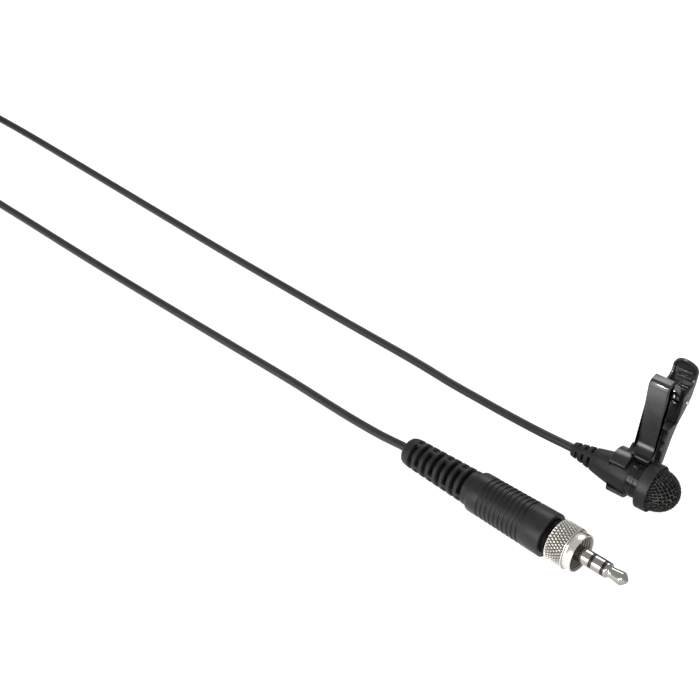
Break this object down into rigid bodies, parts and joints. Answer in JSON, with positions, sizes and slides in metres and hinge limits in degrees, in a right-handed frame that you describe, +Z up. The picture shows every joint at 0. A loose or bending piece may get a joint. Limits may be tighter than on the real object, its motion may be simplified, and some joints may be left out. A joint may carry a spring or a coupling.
{
  "type": "lavalier_microphone",
  "caption": "Lavalier microphone with a woven mesh dome, sprung tie clip, coiled thin cable and a locking 3.5 mm three-pole plug",
  "frame": {"origin": "centre of the microphone and clip in plan, on the floor plane", "axes": "+X along the microphone's axis towards the mesh dome, +Y from the connector towards the clip's thumb paddle, +Z up"},
  "size_m": [0.2819, 0.0549, 0.0287],
  "materials": {
    "mesh": "semi-gloss black woven wire",
    "collar_black": "satin black",
    "foam": "open-cell foam",
    "capsule_metal": "turned",
    "diaphragm_gold": "gold-coated film in a ring",
    "board_green": "solder-masked board",
    "seal_rubber": "matt rubber",
    "neck_gloss": "polished black",
    "housing_black": "matt black",
    "relief_black": "flexible matt black",
    "lead_red": "wire insulation",
    "cable_black": "smooth matt jacket",
    "crimp_metal": "pressed sheet",
    "clip_gloss": "gloss black moulding",
    "lever_black": "satin black moulding",
    "pin_steel": "cut wire",
    "spring_steel": "spring wire",
    "plug_metal": "nickel plated, polished",
    "insulator_black": "moulded",
    "nut_nickel": "nickel plated, knurled",
    "seat_black": "moulded",
    "grip_black": "matt black",
    "tie_black": "hook-and-loop strap"
  },
  "bodies": {
    "microphone": {"capsule_can": "capsule_metal", "capsule_diaphragm": "diaphragm_gold", "capsule_backplate": "capsule_metal", "capsule_board": "board_green", "capsule_gasket": "seal_rubber", "neck_ring": "neck_gloss", "rear_housing": "housing_black", "mic_strain_relief": "relief_black", "mic_leads": "lead_red", "mic_cable_end": "cable_black", "mic_cable_crimp": "crimp_metal", "plug_tip": "plug_metal", "tip_insulator": "insulator_black", "plug_ring": "plug_metal", "ring_insulator": "insulator_black", "plug_sleeve": "plug_metal", "nut_seat": "seat_black", "connector_grip": "grip_black", "connector_core": "seat_black", "plug_leads": "lead_red", "plug_cable_crimp": "crimp_metal", "plug_cable_end": "cable_black", "connector_strain_relief": "relief_black", "cable_mic_run": "cable_black", "cable_coil": "cable_black", "cable_plug_run": "cable_black", "cable_tie": "tie_black"},
    "basket": {"mesh_basket": "mesh", "basket_collar": "collar_black", "foam_liner": "foam"},
    "clip": {"clip_arm": "clip_gloss", "hinge_pin": "pin_steel", "clip_spring": "spring_steel"},
    "lever": {"clip_lever": "lever_black"},
    "nut": {"locking_nut": "nut_nickel"}
  },
  "joints": [
    {"name": "basket_pull", "type": "slide", "parent": "microphone", "child": "basket", "axis": [1, 0, 0], "range_m": [0, 0.016]},
    {"name": "clip_turn", "type": "hinge", "parent": "microphone", "child": "clip", "pos_m": [-0.00083, -0.00665, 0.0055], "axis": [1, 0, 0], "range_deg": [-20, 75]},
    {"name": "jaw_open", "type": "hinge", "parent": "clip", "child": "lever", "pos_m": [0.00232, 0.00805, 0.019], "axis": [1, 0, 0], "range_deg": [0, 22], "stiffness_Nm_per_rad": 0.03, "springref_deg": -45.84, "deforming": ["clip_spring"]},
    {"name": "nut_turn", "type": "hinge", "parent": "microphone", "child": "nut", "pos_m": [0.00095, -0.03266, 0.00518], "axis": [0.9958, -0.0889, 0.0202], "continuous": true}
  ]
}
